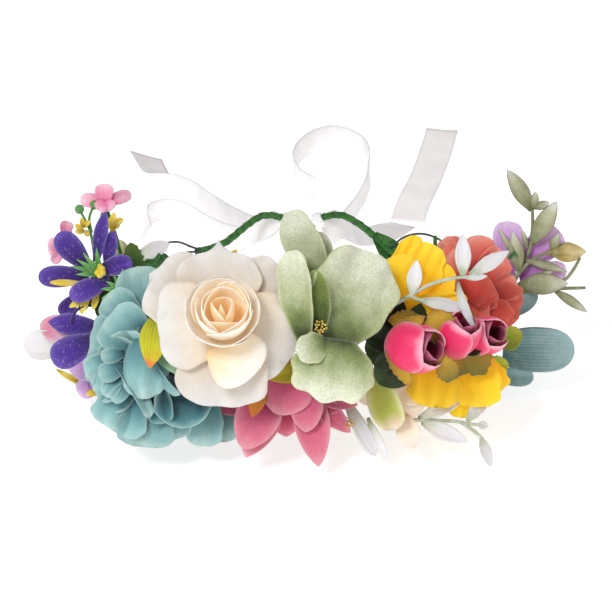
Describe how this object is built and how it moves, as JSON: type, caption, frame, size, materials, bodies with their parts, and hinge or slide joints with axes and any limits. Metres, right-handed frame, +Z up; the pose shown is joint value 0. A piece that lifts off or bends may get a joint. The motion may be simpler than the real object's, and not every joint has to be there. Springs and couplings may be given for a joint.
{
  "type": "flower crown",
  "caption": "Open-backed hair crown of cloth flowers and leaves wired to a taped band, with two bendable rear arms tied with satin ribbon.",
  "frame": {"origin": "centre of the ring of wire, on the surface the crown stands on", "axes": "+X towards the left of whoever wears it, -Y towards the flowered front, +Z up through the head opening"},
  "size_m": [0.2548, 0.4062, 0.1163],
  "materials": {
    "floral_tape": "waxed crepe paper tape",
    "satin": "satin ribbon",
    "cream_silk": "woven silk-like cloth",
    "peach_silk": "woven silk-like cloth",
    "aqua_silk": "woven silk-like cloth",
    "sage_velvet": "flocked cloth",
    "rose_pink_silk": "woven silk-like cloth",
    "yellow_silk": "woven silk-like cloth",
    "hot_pink_silk": "woven silk-like cloth",
    "coral_silk": "woven silk-like cloth",
    "blush_silk": "woven silk-like cloth",
    "violet_velvet": "flocked cloth",
    "lilac_silk": "sheer cloth",
    "filler_pink": "moulded, satin",
    "stamen": "moulded, matt",
    "calyx_green": "moulded, matt",
    "bract": "printed cloth",
    "olive_leaf": "moulded, frosted",
    "teal_leaf": "moulded, frosted",
    "pale_leaf": "moulded, frosted",
    "green_leaf": "printed cloth"
  },
  "bodies": {
    "crown": {"aqua_peony_calyx": "calyx_green", "blush_outer_petals": "blush_silk", "coral_heart": "coral_silk", "coral_inner_petals": "coral_silk", "coral_outer_petals": "coral_silk", "cream_rose_calyx": "calyx_green", "dahlia_inner_petals": "rose_pink_silk", "dahlia_outer_petals": "rose_pink_silk", "dahlia_stamens": "stamen", "front_band": "floral_tape", "gold_bud_spray": "olive_leaf", "left_bud_bracts": "bract", "left_rosebud": "hot_pink_silk", "left_tape_sleeve": "floral_tape", "low_lilac_petals": "lilac_silk", "low_violet_petals": "violet_velvet", "lower_tulip_petals": "yellow_silk", "magnolia_inner_petals": "sage_velvet", "magnolia_outer_petals": "sage_velvet", "magnolia_stamens": "stamen", "middle_bud_bracts": "bract", "middle_rosebud": "hot_pink_silk", "olive_spray": "olive_leaf", "orchid_petals": "lilac_silk", "pale_back_leaf": "pale_leaf", "peony_heart": "aqua_silk", "peony_inner_petals": "aqua_silk", "peony_middle_petals": "aqua_silk", "peony_outer_petals": "aqua_silk", "pink_filler_petals": "filler_pink", "right_bud_bracts": "bract", "right_rosebud": "hot_pink_silk", "right_tape_sleeve": "floral_tape", "rose_heart": "peach_silk", "rose_inner_petals": "cream_silk", "rose_middle_petals": "cream_silk", "rose_outer_petals": "cream_silk", "sage_magnolia_calyx": "calyx_green", "serrated_leaf": "green_leaf", "side_filler_petals": "filler_pink", "teal_leaf_large": "teal_leaf", "teal_leaf_small": "teal_leaf", "upper_tulip_heart": "yellow_silk", "upper_tulip_outer_petals": "yellow_silk", "violet_heart": "stamen", "violet_petals": "violet_velvet", "white_lower_spray": "pale_leaf", "white_upper_spray": "pale_leaf", "yellow_green_leaf": "green_leaf"},
    "left_back_arm": {"left_arm": "floral_tape", "left_ribbon_inner": "satin", "left_ribbon_knot": "satin", "left_ribbon_outer": "satin"},
    "right_back_arm": {"right_arm": "floral_tape", "right_ribbon_curl": "satin", "right_ribbon_drop": "satin", "right_ribbon_knot": "satin", "right_ribbon_tail": "satin"}
  },
  "joints": [
    {"name": "left_arm_bend", "type": "hinge", "parent": "crown", "child": "left_back_arm", "pos_m": [-0.06777, 0.04925, 0.03166], "axis": [0, 0, 1], "range_deg": [-4, 18]},
    {"name": "right_arm_bend", "type": "hinge", "parent": "crown", "child": "right_back_arm", "pos_m": [0.06777, 0.04925, 0.03166], "axis": [0, 0, -1], "range_deg": [-4, 18]}
  ]
}
